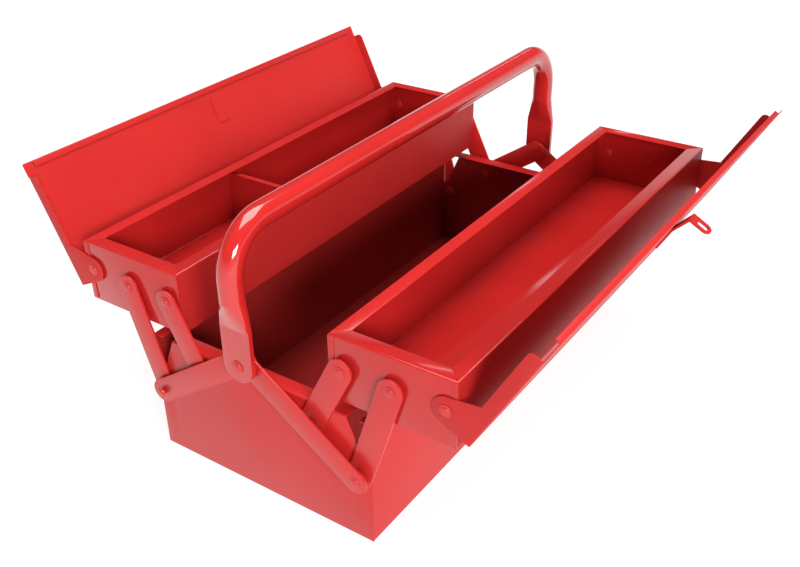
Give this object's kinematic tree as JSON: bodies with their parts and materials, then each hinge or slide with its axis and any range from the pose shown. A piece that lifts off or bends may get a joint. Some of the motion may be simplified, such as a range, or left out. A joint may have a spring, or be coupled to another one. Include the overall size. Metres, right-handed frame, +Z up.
{
  "type": "cantilever toolbox",
  "caption": "Carpenter's steel toolbox with a deep base, cantilever trays on swinging arms, hinged lids with padlock eyes and a tubular handle.",
  "frame": {"origin": "centre of the base's underside, on the surface the box stands on", "axes": "+Z up; X along the box and its handle bar; +Y towards the tray with the divider"},
  "size_m": [0.459, 0.4693, 0.2295],
  "materials": {
    "red_enamel_arms": "glossy baked enamel",
    "red_enamel_box": "glossy baked enamel",
    "red_enamel_handle": "glossy baked enamel",
    "red_enamel_lids": "glossy baked enamel",
    "red_enamel_rivets": "glossy baked enamel",
    "red_enamel_trays": "glossy baked enamel"
  },
  "bodies": {
    "base": {"base_shell": "red_enamel_box", "base_end_left": "red_enamel_box", "base_end_right": "red_enamel_box", "front_strut_left": "red_enamel_arms", "front_strut_right": "red_enamel_arms", "back_strut_left": "red_enamel_arms", "back_strut_right": "red_enamel_arms", "strut_spacers": "red_enamel_rivets", "strut_rivets": "red_enamel_rivets", "inner_arm_rivets": "red_enamel_rivets", "base_arm_washers": "red_enamel_rivets", "handle_rivets": "red_enamel_rivets", "handle_washers": "red_enamel_rivets"},
    "handle": {"handle_tube": "red_enamel_handle"},
    "front_inner_arms": {"front_inner_arm_left": "red_enamel_arms", "front_inner_arm_right": "red_enamel_arms"},
    "front_outer_arms": {"front_outer_arm_left": "red_enamel_arms", "front_outer_arm_right": "red_enamel_arms"},
    "front_tray": {"front_tray_shell": "red_enamel_trays", "front_tray_end_left": "red_enamel_trays", "front_tray_end_right": "red_enamel_trays", "front_tray_arm_rivets": "red_enamel_rivets", "front_tray_arm_washers": "red_enamel_rivets", "front_lid_rivets": "red_enamel_rivets"},
    "front_lid": {"front_lid": "red_enamel_lids", "front_lock_bracket": "red_enamel_lids", "front_lock_plate": "red_enamel_lids"},
    "back_inner_arms": {"back_inner_arm_left": "red_enamel_arms", "back_inner_arm_right": "red_enamel_arms"},
    "back_outer_arms": {"back_outer_arm_left": "red_enamel_arms", "back_outer_arm_right": "red_enamel_arms"},
    "back_tray": {"back_tray_shell": "red_enamel_trays", "back_tray_end_left": "red_enamel_trays", "back_tray_end_right": "red_enamel_trays", "back_tray_arm_rivets": "red_enamel_rivets", "back_tray_arm_washers": "red_enamel_rivets", "back_lid_rivets": "red_enamel_rivets", "back_tray_divider": "red_enamel_trays"},
    "back_lid": {"back_lid": "red_enamel_lids", "back_lock_bracket": "red_enamel_lids", "back_lock_plate": "red_enamel_lids"}
  },
  "joints": [
    {"name": "handle_swing", "type": "hinge", "parent": "base", "child": "handle", "pos_m": [0, 0, 0.12], "axis": [1, 0, 0], "range_deg": [-52, 52]},
    {"name": "front_swing", "type": "hinge", "parent": "base", "child": "front_inner_arms", "pos_m": [0, -0.051, 0.086], "axis": [-1, 0, 0], "range_deg": [0, 66.2]},
    {"name": "front_level", "type": "hinge", "parent": "front_inner_arms", "child": "front_tray", "pos_m": [0, -0.0775, 0.139], "axis": [-1, 0, 0], "range_deg": [-66.4, 0.2]},
    {"name": "front_outer_swing", "type": "hinge", "parent": "front_tray", "child": "front_outer_arms", "pos_m": [0, -0.1165, 0.139], "axis": [-1, 0, 0], "range_deg": [-0.2, 45]},
    {"name": "front_lid_hinge", "type": "hinge", "parent": "front_tray", "child": "front_lid", "pos_m": [0, -0.1555, 0.1405], "axis": [-1, 0, 0], "range_deg": [-16, 118.8]},
    {"name": "back_swing", "type": "hinge", "parent": "base", "child": "back_inner_arms", "pos_m": [0, 0.051, 0.086], "axis": [1, 0, 0], "range_deg": [0, 66.2]},
    {"name": "back_level", "type": "hinge", "parent": "back_inner_arms", "child": "back_tray", "pos_m": [0, 0.0775, 0.139], "axis": [1, 0, 0], "range_deg": [-66.4, 0.2]},
    {"name": "back_outer_swing", "type": "hinge", "parent": "back_tray", "child": "back_outer_arms", "pos_m": [0, 0.1165, 0.139], "axis": [1, 0, 0], "range_deg": [-0.2, 45]},
    {"name": "back_lid_hinge", "type": "hinge", "parent": "back_tray", "child": "back_lid", "pos_m": [0, 0.1555, 0.1405], "axis": [1, 0, 0], "range_deg": [-16, 115.5]}
  ],
  "couplings": [
    {"joint": "front_level", "follows": "front_swing", "ratio": -1},
    {"joint": "front_outer_swing", "follows": "front_swing", "ratio": 0.67586},
    {"joint": "back_level", "follows": "back_swing", "ratio": -1},
    {"joint": "back_outer_swing", "follows": "back_swing", "ratio": 0.67586}
  ]
}
